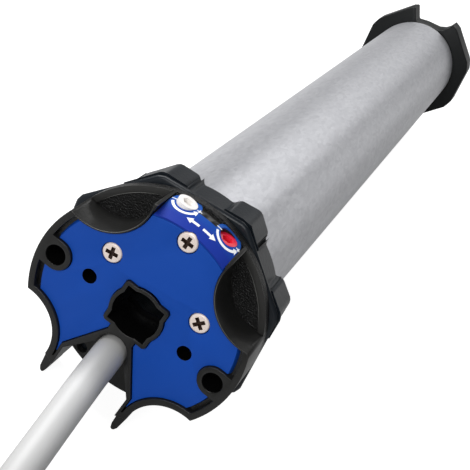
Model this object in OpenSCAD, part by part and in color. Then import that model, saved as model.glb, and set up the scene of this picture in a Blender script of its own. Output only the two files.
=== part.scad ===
// Tubular roller blind motor: fixed head, idler crown, limit unit, motor, brake,
// three-stage planetary gearbox and drive wheel in one tube, with its mains cable.
// The origin is the middle of the head's face on the motor axis.
// +Y runs along the motor into the blind's tube, +Z is the label side.

/* [Head] */
// Radius of the head
head_r = 29; // [28.6:0.1:30]
// Depth of the head's front body
head_depth = 10; // [9.5:0.5:14]
// Height that the rims stand proud of the face plate
rim_proud = 0.7; // [0.4:0.1:1.2]
// Width of the rim round the face plate
rim_w = 1.9; // [1.4:0.1:2.4]
// Thickness of the face plate
face_t = 1.5; // [1:0.1:2]
// Wall of the head's mouldings
head_wall = 2; // [1.5:0.1:2.4]
// Thickness of the plate behind the head's front body
back_plate_t = 2; // [1.5:0.1:3]

/* [Bracket interface] */
// Across the flats of the square socket
socket_af = 10.8; // [10.2:0.1:11.2]
// Radius of the round part of the socket
socket_r = 6.2; // [5.8:0.1:6.6]
// Depth of the socket from the face
socket_depth = 24; // [20:0.5:26]
// Distance between the two large fixing holes
fixing_pitch = 48; // [47.5:0.1:48.5]
// Radius of the large fixing holes
fixing_r = 2.6; // [2:0.1:2.8]
// Distance between the two small screw holes
pilot_pitch = 29; // [28:0.1:30]
// Radius of the small screw holes
pilot_r = 1.9; // [1.5:0.1:2.2]

/* [Crown and drive wheel] */
// Height of the crown's front flange over its ring, at the flats
crown_lip = 1.5; // [1.2:0.1:2]
// Length of the crown
crown_len = 12.7; // [12:0.1:16]
// Wall of the crown's ring between its lugs
crown_wall = 4.15; // [3.6:0.05:4.4]
// Width of a crown lug
lug_w = 10.8; // [8:0.1:11.2]
// Radius across the corners of the drive wheel before they are blunted
wheel_corner_r = 28.9; // [28.4:0.1:30]
// Length of the drive wheel
wheel_len = 12; // [10:0.5:20]
// Turn of the crown's octagon about the motor axis
crown_turn = 31; // [0:1:44]
// Turn of the drive wheel's octagon about the motor axis
wheel_turn = 33; // [0:1:44]

/* [Motor tube] */
// Outer radius of the motor tube
tube_r = 21.05; // [20.9:0.05:21.1]
// Wall of the motor tube
tube_wall = 0.8; // [0.7:0.05:0.9]
// Length of the motor tube; the stator takes what the other pieces leave
tube_len = 308; // [302:1:340]

/* [Motor and gearbox] */
// Radius of the rotor
rotor_r = 10.2; // [9:0.1:10.3]
// Radius of the rotor shaft
shaft_r = 3; // [2.5:0.1:3]
// Wall of the ring gear outside its teeth
ring_wall = 2.5375; // [2.3:0.0125:2.8]
// Width of a planet
planet_w = 10; // [8:0.5:10]
// Radius of a planet's pin
pin_r = 2; // [1.6:0.1:2.4]
// Radius of the output shaft
output_r = 6; // [5.5:0.1:7]
// Across the flats of the output shaft's square end
output_af = 8.4; // [8:0.1:8.4]

/* [Cable] */
// Diameter of the cable's sheath
cable_d = 8.2; // [7.8:0.1:8.2]

/* [Hidden] */
$fn = 72;
eps = 0.02;
cut = 1;             // how far a cutting body runs past the face it cuts

// Colours
c_black = [0.09, 0.09, 0.10];
c_char = [0.22, 0.22, 0.21];
c_blue = [0.12, 0.30, 0.66];
c_violet = [0.24, 0.20, 0.72];
c_zinc = [0.86, 0.80, 0.76];
c_steel = [0.70, 0.71, 0.73];
c_galv = [0.74, 0.75, 0.78];
c_copper = [0.72, 0.40, 0.22];
c_brass = [0.78, 0.64, 0.34];
c_white = [0.93, 0.93, 0.92];
c_nylon = [0.85, 0.84, 0.78];
c_red = [0.80, 0.10, 0.12];
core_shades = [[0.20, 0.35, 0.75], [0.45, 0.28, 0.15], [0.10, 0.10, 0.10], [0.35, 0.60, 0.20]];

// Fits
running = 0.05;      // radial gap of a bore on a shaft that turns in it
seat = 0.1;          // gap round a fixed piece in its seat
body_gap = 0.3;      // gap between pieces that move past each other
bevel_gap = 0.35;    // by which each bevel blank is drawn in

// Head outline: circles cut from the disc
scallop_x = 24.4;
scallop_z = -25.1;
scallop_r = 11.4;
pocket_x = 23.5;
pocket_z = 23.9;
pocket_r = 12.7;
pocket_rim = 0.6;
pocket_band = 1.7;   // smooth band round the back plate's edge, seen in the pockets
pocket_band_t = 0.6;
slot_roof_z = -8.1;
slot_top_x = 3;
slot_foot = [10.1, -21];
plate_v_top = [3.9, -8];
plate_v_foot = [11.1, -20.2];
fin_tip_z = -31.7;
fixing_z = -1;
fixing_boss_r = 4;
pilot_boss_r = 3.6;
socket_rim = 1;
plate_gap = 0.2;      // round the face plate
label_half_w = 10.2;
label_front_r = head_r - 2.6;
label_rear_r = head_r - 0.4;
label_bevel_y = 6;
label_t = 0.4;
label_foot_z = head_r - 10;   // below the label's bevel at its sides
label_gap = 0.2;
fin_step = 2;        // by which the fins stop short of the back plate
plate_hole_r = 1.5;  // small hole low in the back plate
plate_hole = [-7.8, -25.6];

// Screws through the face
screw_at = [[-13.1, 9], [13.1, 9], [0, head_r - 5.1]];
screw_head_r = 2.65;
screw_head_h = 1.3;
screw_shank_r = 1.3;
screw_len = [17, 17, 11.6];   // the top one stops short of the crown
screw_boss_r = 3.2;
screw_boss_len = 9;
recess_half = 1.7;
recess_w = 0.8;
recess_depth = 0.9;

// Adjusters
adjuster_x = 6.2;
adjuster_y = 7.3;
adjuster_tops = [head_r - 0.6, head_r - 1.8];   // the right one is sunk
adjuster_cap_r = 2.55;
adjuster_cap_h = 2.6;
adjuster_stem_r = 1.6;
adjuster_hex_r = 1.45;
adjuster_hex_depth = 1.5;
adjuster_tab_r = 3.7;
adjuster_boss_wall = 0.7;
rod_r = 1.4;
rod_inset = 3.2;     // from the tube's bore to the rods' height
rod_gear_r = 1.9;
rod_gear_w = 4;
rod_tail = 8;        // by which the rods reach into the limit unit
bevel_near = 1.3;
bevel_far = 2.6;
bevel_teeth = 10;
bevel_slot = 0.4;    // gap between two bevel teeth
bevel_slot_in = 1;

// Places along the motor axis
hub_y = head_depth;
rod_bevel_far = hub_y - body_gap - adjuster_y;
hub_face_y = hub_y + back_plate_t;
crown_y = hub_face_y + body_gap;
crown_end = crown_y + crown_len;
tube_y = hub_face_y + 4.9;
sleeve_end = crown_end + 1.8;
clip_y = crown_end + 0.2;
clip_t = 1;
clip_groove = 0.8;   // depth of the clip's groove
clip_w = 3.2;        // width of the clip's ring
clip_mouth = 6;      // gap between the clip's ends
pivot_floor = 0.6;   // wall left under a blind hole
pivot_depth = 1.4;
tube_end_y = tube_y + tube_len;
tube_bore = tube_r - tube_wall;
inner_r = tube_bore - 0.05;
hub_wall = 2.2;
sleeve_r = tube_r + hub_wall;
rod_z = inner_r - rod_inset;
crown_ring_r = sleeve_r + crown_wall;
crown_corner_r = (crown_ring_r + crown_lip) / cos(22.5);
barrel_r = sleeve_r - 0.9;
socket_tube_r = 8.6;

// Crown's flange and lugs
crown_flange_t = 1.5;
crown_blunt = 0.4;   // taken off the flange's corners
crown_step = 1;      // by which the lugs stand behind the ring
lug_drop = 0.7;      // by which the lugs stay below the flange's corners
lug_blunt = 0.15;
lug_lip = 0.8;
lug_ramp = 4;

// Crown's internal gear and the limit unit's pinion
crown_teeth = 60;
crown_tip_gap = 0.15;    // from the sleeve to the teeth's tips
crown_m = (sleeve_r + crown_tip_gap) / (crown_teeth / 2 - stub_out(1));
crown_gear_wall = 0.8;
limit_teeth = 15;
limit_x = crown_m * (crown_teeth - limit_teeth) / 2;
limit_shaft_r = 1.5;
limit_gear_y = crown_y + 0.3;
limit_gear_w = 3.6;
worm_r = 2;
limit_shaft_y = hub_face_y - pivot_depth + seat;
limit_gap = 1.4;     // from the hub's sleeve to the limit unit
limit_y = sleeve_end + limit_gap;
frame_plate = 3;
cam_tip_r = 10.7;
limit_len = 2 * (cam_tip_r + body_gap + frame_plate);
deck_z = 9;
deck_t = 2;
cam_x = limit_x - worm_r - body_gap - cam_tip_r;
cam_teeth = 30;
cam_t = 2.4;
cam_gap = 0.4;
cam_disc_r = 7;
cam_disc_t = 3;
cam_y = limit_y + limit_len / 2;
cam_pin_r = 1.5;
cam_tooth_h = 0.8;
cam_tooth_gap = 1;
cam_notch = 1.5;
worm_len = 16;
worm_pitch = 2;
worm_thread = 1.2;
deck_w = 28;
deck_inset = 1;
switch_size = [6.4, 12.8, 5.8];
switch_gap = 1.2;    // from a switch to its cam
plunger = [0.8, 2, 2];

// Cable where it leaves the head
cable_r = cable_d / 2;
plug_half_w = 6.2;
plug_top = -8.9;
plug_rise = 2;       // from the tube's bore to the plug
plug_bottom = plug_rise - inner_r;
plug_len = 16;
lead_r = 0.9;
lead_z = plug_bottom + lead_r;
lead_pitch = 2.4;
lead_room_w = 6;     // half the width of the gap for the leads

// Capacitor and motor
cradle_wall = 5.2;
cap_r = inner_r - cradle_wall;
cap_len = 50;
lead_room = 8;       // room for the leads before the capacitor and before the motor
cap_y = limit_y + limit_len + lead_room;
cradle_t = 3;
tab_x = 5;
tab_size = [3.2, 5, 0.8];
motor_y = cap_y + cap_len + lead_room;
shield_t = 8;
shield_wall = 2;
cup_depth = 6;
tie_hole_r = 2.2;
round_inset = 6.2;   // from the tube's bore to the holes round the axis and to the brake disc
tie_hole_at = inner_r - round_inset;
bearing_r = 8;
bearing_w = 5;
bearing_race = 1.4;
bearing_step = 0.4;
shaft_tail = 3;      // by which the rotor shaft runs past the front shield
stator_y = motor_y + shield_t + cup_depth;
stator_bore = rotor_r + 0.4;
stator_slots = 12;
slot_w = 3.2;
slot_mouth = 1.2;
slot_tip = 0.8;
back_iron = 4.4;     // from the slots to the stator's outside
slot_depth = inner_r - stator_bore - slot_tip - back_iron;
winding_h = cup_depth - 0.6;
winding_in = 0.6;    // from the stator's bore to the windings
winding_out = 1.4;   // from the windings to the shield's cup
winding_w = inner_r - shield_wall - winding_out - stator_bore - winding_in;
winding_round = 3.3;
end_ring_step = 1.2;
end_ring_len = 2.5;
brake_plate_t = 3;
brake_travel = 0.5;
brake_disc_t = 2;
brake_r = inner_r - round_inset;
brake_wall = 2.6;
brake_bore = 7;
brake_plate_bore = 6.5;
brake_hub_r = 5;
brake_hub_len = 3;
vent_r = 1.5;
vent_inset = 8.2;
vent_at = inner_r - vent_inset;
spring_r = 9;
spring_turns = 4;
spring_wire_r = 0.55;
pinion_collar_r = 4.6;
pinion_grip = 6;     // depth of the pinion's bore behind the gearbox
brake_web_t = 4;
spring_room = 8;     // room for the brake's spring
pinion_room = 8;     // from the brake's web to the gearbox
lining_gap = 0.2;    // from the brake's plate to its disc

// Planetary gearbox: three like stages of 9, 18 and 45 teeth
sun_teeth = 9;
planet_teeth = 18;
ring_teeth = 45;
gear_m = (inner_r - ring_wall) / (ring_teeth / 2 + stub_in(1));
gear_axis = gear_m * (sun_teeth + planet_teeth) / 2;
stage_gap = 10;      // from one stage's planets to the next
stage_in = 3;        // from the ring gear's front to the first planets
stage_pitch = planet_w + stage_gap;
carrier_gap = 0.6;
pin_ahead = 0.5;     // by which the pins run past the planets
carrier_t = 4;
carrier_inset = 4.8;
carrier_r = inner_r - carrier_inset;
ring_len = stage_pitch * 3;

// The train is laid out from the tube's end back to the stator
end_len = 26;        // length of the piece that closes the tube
output_room = 17.2;  // from the ring gear to that piece
end_flange_y = tube_end_y - end_len;
gear_y = end_flange_y - output_room - ring_len;
stage_y = gear_y + stage_in;
output_y = stage_y + 2 * stage_pitch + planet_w + carrier_gap + carrier_t;
brake_web_y = gear_y - pinion_room - brake_web_t;
brake_disc_y = brake_web_y - body_gap - brake_disc_t;
brake_plate_y = brake_disc_y - lining_gap - brake_plate_t;
brake_y = brake_plate_y - spring_room;
rear_y = brake_y - shield_t;
stator_len = rear_y - cup_depth - stator_y;
pinion_y = brake_disc_y + brake_disc_t + brake_hub_len + body_gap;

// Drive wheel and the tube's end
wheel_gap = 3;       // from the tube's end to the wheel
wheel_y = tube_end_y + wheel_gap;
wheel_end = wheel_y + wheel_len;
wheel_web = 4;
wheel_hub_r = 10;
wheel_blunt = 0.9;   // taken off the wheel's corners
wheel_pocket_wall = 3;
wheel_rib = 2;
wheel_pocket_w = 13;
wheel_rim = 1.6;
notch_r = 20.6;
wheel_clip_y = wheel_end + 0.2;
wheel_clip_bore = output_af / 2 - 0.6;
shaft_end_y = wheel_end + wheel_gap;
end_cap_t = 1;       // collar that closes the tube's end
end_hole_r = 3;
end_hole_at = inner_r - round_inset;
end_hole_depth = 20;
bush_wall = 2;

// The surface that the motor and its cable lie on
floor_z = fin_tip_z;

// Cable route, chosen by hand
cord_z = -27.6;
run_points = [[-0.2, 10, -13.2], [-0.2, 5, -13.2], [0, 1, -13.3], [0.3, -3, -13.9],
    [0.8, -9, -15.8], [1.5, -16, -18.3], [2.5, -25, -21.4], [3.4, -33, -24.2],
    [4.2, -40, -26.3], [4.8, -46, -27.3], [5, -52, -27.6]];
hank_x = -6;         // middle of the hank
hank_y = -114;       // centre of its near folds
hank_run = 94;       // length of its straight sides
hank_r = 33.5;       // radius of the outer turn's folds
hank_pitch = 9;      // from one turn to the next, and from one layer to the next
hank_turns = 4.69;
hank_places = [[0, 0], [1, 0], [1, 1], [0, 1], [0, 2], [1, 2]];  // each turn's place: inwards, up
hank_shift_first = 0.62; // where the cable first changes its place, in turns
hank_shift_every = 0.87;
hank_shift_len = 0.2;
hank_steps = 24;     // rings in a turn
hank_sides = 6;
hank_lead = 6;       // rings from the run to the first turn
tie_t = 0.6;
tie_w = 12;
tie_reach = 30;      // how far from the tie the turns start to rise over it
tie_lift = 0.9;      // by which they rise
core_r = 1.1;
core_half = 1.6;     // from the cable's middle to each core, across and up
core_len = 24;

// A profile in the face plane (x, z), drawn from y0 towards +Y
module prism(y0, len) {
    translate([0, y0 + len, 0]) rotate([90, 0, 0]) linear_extrude(height = len) children();
}

// A profile of (radius, y) turned about the motor axis
module turned() {
    rotate([-90, 0, 0]) rotate_extrude() children();
}

// A round rod along Y
module rod(r, y0, len, x = 0, z = 0) {
    translate([x, y0, z]) rotate([-90, 0, 0]) cylinder(r = r, h = len);
}

// A ring or sleeve along Y
module sleeve(ro, ri, y0, len, x = 0, z = 0) {
    difference() {
        rod(ro, y0, len, x, z);
        rod(ri, y0 - cut, len + 2 * cut, x, z);
    }
}

// A box from corner a to corner b
module block(a, b) {
    translate(a) cube(b - a);
}

// Points of a spur gear with straight-sided stub teeth; a tooth lies on angle 0
function stub_out(m) = 0.75 * m;
function stub_in(m) = 1.05 * m;
function tooth_half(m, r, share) = share * m / r * 180 / PI;
function gear_points(m, n) = let (r = m * n / 2) [for (i = [0:n - 1]) for (p = [
    [r - stub_in(m), -tooth_half(m, r, 0.95)], [r, -tooth_half(m, r, 0.62)],
    [r + stub_out(m), -tooth_half(m, r, 0.3)], [r + stub_out(m), tooth_half(m, r, 0.3)],
    [r, tooth_half(m, r, 0.62)], [r - stub_in(m), tooth_half(m, r, 0.95)]])
    p[0] * [cos(i * 360 / n + p[1]), sin(i * 360 / n + p[1])]];
function ring_points(m, n) = let (r = m * n / 2) [for (i = [0:n - 1]) for (p = [
    [r + stub_in(m), -tooth_half(m, r, 0.95)], [r, -tooth_half(m, r, 0.62)],
    [r - stub_out(m), -tooth_half(m, r, 0.3)], [r - stub_out(m), tooth_half(m, r, 0.3)],
    [r, tooth_half(m, r, 0.62)], [r + stub_in(m), tooth_half(m, r, 0.95)]])
    p[0] * [cos(i * 360 / n + p[1]), sin(i * 360 / n + p[1])]];

// Head outlines, each drawn in from the true outline by an inset
module slot_outline(widen = 0) {
    translate([0, slot_roof_z - cable_r - seat * 2]) circle(r = cable_r + seat * 2 + widen);
    polygon([[-slot_top_x - widen, slot_roof_z - 3], [slot_top_x + widen, slot_roof_z - 3],
        [slot_foot[0] + widen, slot_foot[1]], [slot_foot[0] + widen, fin_tip_z - 4],
        [-slot_foot[0] - widen, fin_tip_z - 4], [-slot_foot[0] - widen, slot_foot[1]]]);
}

module fin_outline() {
    for (s = [-1, 1]) scale([s, 1])
        polygon([[slot_foot[0], -16], [16, -16], [13.1, -23.5], [12.9, -27], [12.5, -30.4],
            [12, fin_tip_z + 0.3], [11.5, fin_tip_z], [11, fin_tip_z + 0.3], [10.6, -30]]);
}

module head_outline(inset = 0, pocket_inset = 0) {
    difference() {
        circle(r = head_r - inset);
        for (s = [-1, 1]) {
            translate([s * scallop_x, scallop_z]) circle(r = scallop_r + inset);
            translate([s * pocket_x, pocket_z]) circle(r = pocket_r + pocket_inset);
        }
    }
}

module socket_outline(grow = 0) {
    square(socket_af + 2 * grow, center = true);
    circle(r = socket_r + grow);
}

module fixing_boss_outline(grow = 0) {
    for (s = [-1, 1]) translate([s * fixing_pitch / 2, fixing_z]) {
        circle(r = fixing_boss_r + grow);
        translate([s > 0 ? 0 : -8, -fixing_boss_r - grow]) square([8, 2 * (fixing_boss_r + grow)]);
    }
}

// The face plate's outline: inside the rims, round the bosses, beside the slot
module plate_outline(grow = 0) {
    difference() {
        head_outline(rim_w - grow, pocket_rim - grow);
        fixing_boss_outline(plate_gap - grow);
        intersection() {
            socket_outline(socket_rim + plate_gap - grow);
            circle(r = socket_af / sqrt(2) + socket_rim + plate_gap - grow);
        }
        polygon([[-plate_v_top[0] + grow, 0], [plate_v_top[0] - grow, 0],
            [plate_v_top[0] - grow, plate_v_top[1]],
            [plate_v_foot[0] - grow, plate_v_foot[1]], [plate_v_foot[0] - grow, -40],
            [-plate_v_foot[0] + grow, -40], [-plate_v_foot[0] + grow, plate_v_foot[1]],
            [-plate_v_top[0] + grow, plate_v_top[1]]]);
    }
}

// Body of revolution that bounds the head, with the label's bevel at the top
module head_bound(drop = 0) {
    turned() polygon([[0, -rim_proud], [label_front_r - drop, -rim_proud], [label_front_r - drop, 0],
        [label_rear_r - drop, label_bevel_y], [label_rear_r - drop, head_depth], [0, head_depth]]);
}

module label_zone(drop = 0, gap = 0) {
    intersection() {
        head_bound(drop);
        block([-label_half_w + gap, -rim_proud - cut, label_foot_z - 4],
            [label_half_w - gap, head_depth + cut, head_r + cut]);
    }
}

module head_housing() {
    color(c_black) difference() {
        union() {
            difference() {
                union() {
                    difference() {
                        prism(-rim_proud, head_depth + rim_proud) head_outline();
                        block([-label_half_w, -rim_proud - cut, label_foot_z],
                            [label_half_w, head_depth + cut, head_r + cut]);
                    }
                    label_zone(label_t);
                    prism(0, head_depth - fin_step) difference() {
                        fin_outline();
                        slot_outline();
                        for (s = [-1, 1]) translate([s * scallop_x, scallop_z]) circle(r = scallop_r);
                    }
                }
                // Seat of the face plate
                prism(-rim_proud - cut, rim_proud + cut + face_t) plate_outline(plate_gap);
                block([-label_half_w + pocket_rim, -rim_proud - cut, label_foot_z + 1],
                    [label_half_w - pocket_rim, 0, head_r + cut]);
                // Hollow behind the front wall
                intersection() {
                    prism(face_t + head_wall, head_depth) difference() {
                        head_outline(head_wall, head_wall);
                        slot_outline(head_wall);
                    }
                    translate([0, head_wall, 0]) head_bound(head_wall + label_t);
                }
            }
            // Bosses for screws and holes
            for (s = [-1, 1]) {
                rod(pilot_boss_r, face_t, head_depth - face_t, s * pilot_pitch / 2);
                rod(fixing_boss_r, face_t, head_depth - face_t, s * fixing_pitch / 2, fixing_z);
                intersection() {
                    translate([s * adjuster_x, adjuster_y, rod_z + bevel_far + body_gap])
                        cylinder(r = adjuster_cap_r + adjuster_boss_wall,
                            h = label_front_r - label_t - rod_z - bevel_far - body_gap);
                    rod(head_r, 0, head_depth);
                }
            }
            intersection() {
                for (p = screw_at) rod(screw_boss_r, face_t, head_depth - face_t, p[0], p[1]);
                head_bound(label_t);
            }
            prism(face_t, head_depth - face_t) difference() {
                circle(r = socket_tube_r);
                slot_outline();
            }
        }
        prism(-rim_proud - cut, head_depth + rim_proud + 2 * cut) {
            socket_outline();
            slot_outline();
        }
        for (s = [-1, 1]) {
            rod(fixing_r, -rim_proud - cut, head_depth + rim_proud + 2 * cut, s * fixing_pitch / 2, fixing_z);
            rod(pilot_r, -cut, head_depth + 2 * cut, s * pilot_pitch / 2);
            translate([s * adjuster_x, adjuster_y, rod_z])
                cylinder(r = adjuster_stem_r + running, h = head_r - rod_z);
            translate([s * adjuster_x, adjuster_y, adjuster_tops[(s + 1) / 2] - adjuster_cap_h])
                cylinder(r = adjuster_cap_r + running, h = head_r - adjuster_tops[1] + adjuster_cap_h);
        }
        for (p = screw_at) rod(screw_shank_r, -cut, head_depth + 2 * cut, p[0], p[1]);
        prism(-rim_proud - cut, rim_proud + cut + face_t) for (p = screw_at)
            translate(p) circle(r = screw_head_r + seat);
    }
}

module face_plate() {
    color(c_blue) difference() {
        intersection() {
            prism(0, face_t) plate_outline();
            head_bound(label_t + label_gap);
        }
        for (s = [-1, 1]) rod(pilot_r, -cut, face_t + 2 * cut, s * pilot_pitch / 2);
        for (p = screw_at) rod(screw_head_r + seat, -cut, face_t + 2 * cut, p[0], p[1]);
    }
}

module label_strip() {
    color(c_violet) difference() {
        union() {
            intersection() {
                difference() {
                    label_zone(0, label_gap);
                    label_zone(label_t);
                }
                block([-head_r, label_gap / 2, label_foot_z], [head_r, label_bevel_y, head_r]);
            }
            for (s = [-1, 1]) intersection() {
                translate([s * adjuster_x, adjuster_y, 0]) cylinder(r = adjuster_tab_r, h = head_r);
                sleeve(label_rear_r, label_rear_r - label_t, 0, head_depth);
                block([-label_half_w, label_bevel_y - eps, label_foot_z], [label_half_w, head_depth, head_r]);
            }
        }
        for (s = [-1, 1]) translate([s * adjuster_x, adjuster_y, label_foot_z])
            cylinder(r = adjuster_cap_r + seat, h = head_r);
        for (p = screw_at) rod(screw_head_r + seat, -cut, face_t + cut, p[0], p[1]);
    }
}

// Countersunk screws with a cross recess
module face_screws() {
    color(c_zinc) for (i = [0:len(screw_at) - 1]) {
        p = screw_at[i];
        difference() {
            union() {
                rod(screw_head_r, 0, screw_head_h, p[0], p[1]);
                rod(screw_shank_r, screw_head_h - eps, screw_len[i] - screw_head_h + eps, p[0], p[1]);
            }
            translate([p[0], 0, p[1]]) for (a = [0, 90]) rotate([0, 12 + 40 * i + a, 0])
                block([-recess_half, -cut, -recess_w / 2], [recess_half, recess_depth, recess_w / 2]);
        }
    }
}

// Hub behind the head: plate, barrel, sleeve for the tube and the socket's end
module head_hub() {
    color(c_char) difference() {
        union() {
            rod(head_r, hub_y, back_plate_t);
            intersection() {
                sleeve(head_r, head_r - pocket_band, hub_y - pocket_band_t, pocket_band_t + eps);
                prism(0, hub_y + 1) for (s = [-1, 1]) translate([s * pocket_x, pocket_z])
                    circle(r = pocket_r - seat);
            }
            sleeve(barrel_r, inner_r, hub_y, tube_y - hub_y);
            sleeve(sleeve_r, tube_r, tube_y - eps, sleeve_end - tube_y + eps);
            rod(socket_tube_r, hub_y, socket_depth + 2 - hub_y);
            for (p = screw_at) if (norm(p) < inner_r) rod(screw_boss_r, hub_y, screw_boss_len, p[0], p[1]);
        }
        prism(hub_y - cut, socket_depth - hub_y + cut) socket_outline();
        sleeve(head_r, sleeve_r - clip_groove, clip_y, clip_t);
        block([-plug_half_w - seat, hub_y - cut, plug_bottom - seat],
            [plug_half_w + seat, sleeve_end + cut, plug_top + seat]);
        for (i = [0:len(screw_at) - 1])
            rod(screw_shank_r, hub_y - cut, screw_len[i] + cut + 0.4 - hub_y, screw_at[i][0], screw_at[i][1]);
        for (s = [-1, 1]) {
            rod(rod_r + running, hub_y - cut, sleeve_end - hub_y + 2 * cut, s * adjuster_x, rod_z);
            rod(fixing_r, hub_y - cut, back_plate_t - pivot_floor + cut, s * fixing_pitch / 2, fixing_z);
        }
        rod(plate_hole_r, hub_y - cut, back_plate_t + 2 * cut, plate_hole[0], plate_hole[1]);
        // Window for the pinion and the seat of its shaft
        rod(crown_m * limit_teeth / 2 + stub_out(crown_m) + body_gap, hub_face_y,
            tube_y - hub_face_y, limit_x);
        rod(limit_shaft_r + running, hub_face_y - pivot_depth, sleeve_end, limit_x);
    }
}

module adjuster(side, shade) {
    top = adjuster_tops[(side + 1) / 2];
    color(shade) translate([side * adjuster_x, adjuster_y, 0]) difference() {
        union() {
            translate([0, 0, top - adjuster_cap_h + 0.1])
                cylinder(r = adjuster_cap_r, h = adjuster_cap_h - 0.1);
            translate([0, 0, rod_z + bevel_far])
                cylinder(r = adjuster_stem_r, h = top - adjuster_cap_h + 0.2 - rod_z - bevel_far);
            translate([0, 0, rod_z + bevel_near])
                cylinder(r1 = bevel_near - bevel_gap, r2 = bevel_far - bevel_gap, h = bevel_far - bevel_near);
        }
        translate([0, 0, top - adjuster_hex_depth])
            cylinder(r = adjuster_hex_r, h = adjuster_hex_depth + cut, $fn = 6);
        for (i = [0:bevel_teeth - 1]) rotate(i * 360 / bevel_teeth)
            translate([bevel_slot_in, -bevel_slot / 2, rod_z]) cube([bevel_far, bevel_slot, bevel_far + 0.1]);
    }
}

module adjuster_up() { adjuster(-1, c_white); }
module adjuster_down() { adjuster(1, c_red); }

// Rod that carries an adjuster's turn back to the limit unit
module adjuster_rod(side) {
    color(c_steel) translate([side * adjuster_x, 0, rod_z]) difference() {
        union() {
            translate([0, adjuster_y + bevel_near, 0]) rotate([-90, 0, 0])
                cylinder(r1 = bevel_near - bevel_gap, r2 = rod_bevel_far - bevel_gap,
                    h = rod_bevel_far - bevel_near);
            rod(rod_r, adjuster_y + rod_bevel_far - eps, limit_y + rod_tail - adjuster_y - rod_bevel_far);
            rod(rod_gear_r, limit_y + frame_plate + body_gap, rod_gear_w);
        }
        translate([0, adjuster_y, 0]) rotate([-90, 0, 0])
            for (i = [0:bevel_teeth - 1]) rotate((i + 0.5) * 360 / bevel_teeth)
                translate([rod_r, -bevel_slot / 2, 0]) cube([bevel_far, bevel_slot, rod_bevel_far]);
    }
}

module adjuster_rod_up() { adjuster_rod(-1); }
module adjuster_rod_down() { adjuster_rod(1); }

// Crown: octagonal flange, ring with lugs behind its corners, gear teeth inside its front
module crown_lug(ramped) {
    half = lug_w / 2;
    tip_r = crown_corner_r - lug_drop;
    side_r = tip_r - half * tan(22.5);
    foot_r = sleeve_r + 1.5;
    ramp_r = crown_ring_r - lug_lip;
    ramp = ramped ? [[-half - lug_ramp, foot_r], [-half - lug_ramp, ramp_r]] : [[-half, foot_r]];
    polygon(concat(ramp, [[-half, side_r], [-lug_lip, tip_r - lug_blunt], [0, tip_r],
        [lug_lip, tip_r - lug_blunt], [half, side_r], [half, side_r - 1.5 * lug_lip],
        [half + lug_lip, side_r - 2 * lug_lip],
        [half + lug_lip, foot_r]]));
}

module crown() {
    root_r = crown_m * crown_teeth / 2 + stub_in(crown_m);
    color(c_black) difference() {
        union() {
            prism(crown_y, crown_flange_t) intersection() {
                rotate(crown_turn) circle(r = crown_corner_r, $fn = 8);
                circle(r = crown_corner_r - crown_blunt);
            }
            rod(crown_ring_r, crown_y, crown_len - crown_step);
            prism(crown_y, crown_len) for (i = [0, 1, 2, 4, 5, 6])
                rotate(crown_turn - 90 + i * 45) crown_lug(i % 4 == 2);
        }
        rod(sleeve_r + running, crown_y - cut, crown_len + 2 * cut);
        rod(root_r + crown_gear_wall / 2, crown_y - cut, limit_gear_y + limit_gear_w + body_gap - crown_y + cut);
    }
    color(c_black) prism(limit_gear_y, limit_gear_w + body_gap + eps) difference() {
        circle(r = root_r + crown_gear_wall);
        polygon(ring_points(crown_m, crown_teeth));
    }
}

// Spring clip that keeps the crown on the sleeve
module crown_clip() {
    color(c_steel) difference() {
        sleeve(sleeve_r - clip_groove + clip_w, sleeve_r - clip_groove, clip_y, clip_t);
        block([-clip_mouth / 2, clip_y - cut, -head_r], [clip_mouth / 2, clip_y + clip_t + cut, 0]);
    }
}

module lead_gaps(y0, len) {
    block([-lead_room_w, y0 - cut, -head_r], [lead_room_w, y0 + len + cut, lead_z + lead_r + body_gap]);
}

// Frame of the limit unit: two end plates and two decks
module limit_frame() {
    color(c_nylon) difference() {
        union() {
            rod(inner_r, limit_y, frame_plate);
            rod(inner_r, limit_y + limit_len - frame_plate, frame_plate);
            for (z = [-deck_z - deck_t, deck_z]) block([-deck_w / 2, limit_y + deck_inset, z],
                [deck_w / 2, limit_y + limit_len - deck_inset, z + deck_t]);
            translate([cam_x, cam_y, -deck_z - deck_t / 2]) cylinder(r = cam_pin_r, h = 2 * deck_z + deck_t);
        }
        lead_gaps(limit_y, limit_len);
        rod(limit_shaft_r + running, limit_y - cut, limit_len + 2 * cut, limit_x);
        for (s = [-1, 1]) rod(rod_r + running, limit_y - cut, frame_plate + 2 * cut, s * adjuster_x, rod_z);
    }
}

// Pinion in the crown's gear, with its long shaft and worm
module limit_pinion() {
    color(c_brass) {
        prism(limit_gear_y, limit_gear_w) translate([limit_x, 0]) rotate(180 / limit_teeth)
            polygon(gear_points(crown_m, limit_teeth));
        rod(limit_shaft_r, limit_shaft_y, limit_y + limit_len - limit_shaft_y, limit_x);
        difference() {
            rod(worm_r, cam_y - worm_len / 2, worm_len, limit_x);
            for (y = [cam_y - worm_len / 2 + worm_thread:worm_pitch:cam_y + worm_len / 2 - worm_pitch])
                sleeve(worm_r + cut, limit_shaft_r, y, worm_pitch - worm_thread, limit_x);
        }
    }
}

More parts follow.
